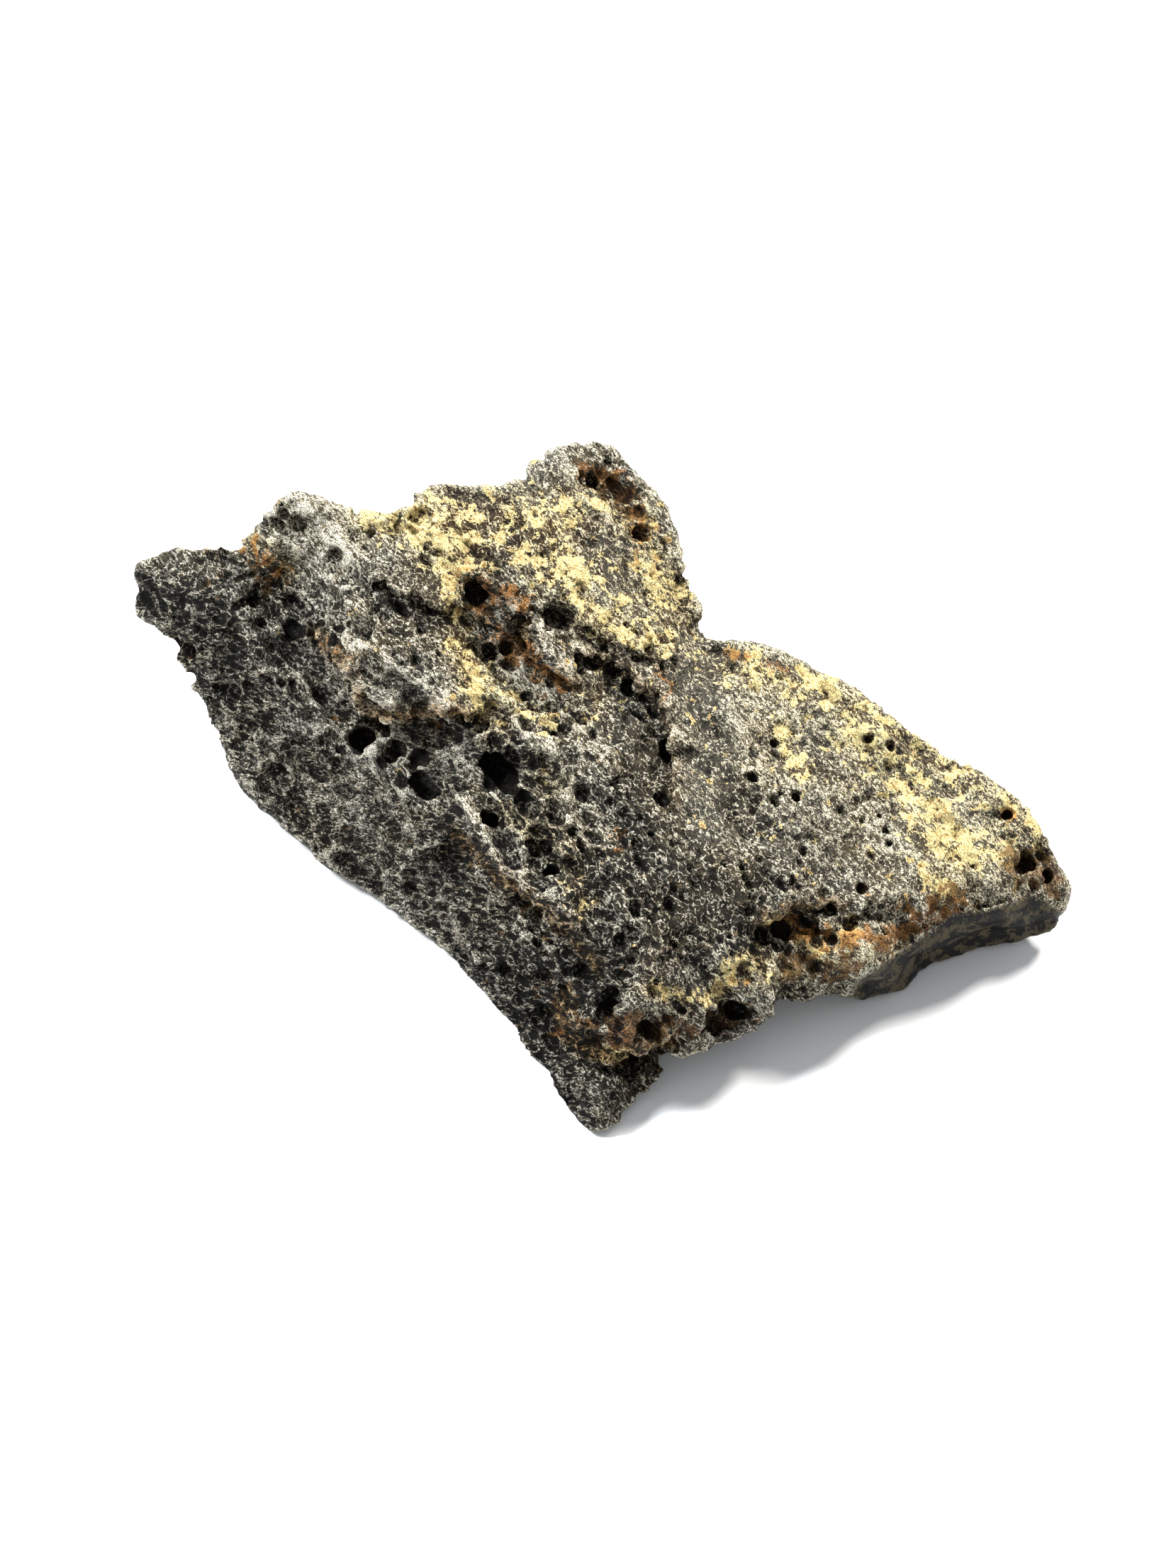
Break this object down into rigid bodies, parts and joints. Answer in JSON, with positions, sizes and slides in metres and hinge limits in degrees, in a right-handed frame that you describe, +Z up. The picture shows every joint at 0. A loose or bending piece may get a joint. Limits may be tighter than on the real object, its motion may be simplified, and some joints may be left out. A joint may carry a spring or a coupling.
{
  "type": "tektite",
  "caption": "Broken piece of layered tektite: a pitted slab of natural glass with ledges, a steep dark flank, a fresh break and a worn flat foot.",
  "frame": {"origin": "on the plane of the worn foot, under the middle of the stone's bounding box", "axes": "+X along the stone's length from the left end to the right lobe, +Y from the front corner to the peak at the back, +Z up from the foot"},
  "size_m": [0.0626, 0.0462, 0.0169],
  "materials": {
    "weathered_glass": "etched and pitted natural glass with pale soil in the pits, glossy black where freshly broken"
  },
  "bodies": {
    "root": {"tektite": "weathered_glass"}
  },
  "joints": []
}
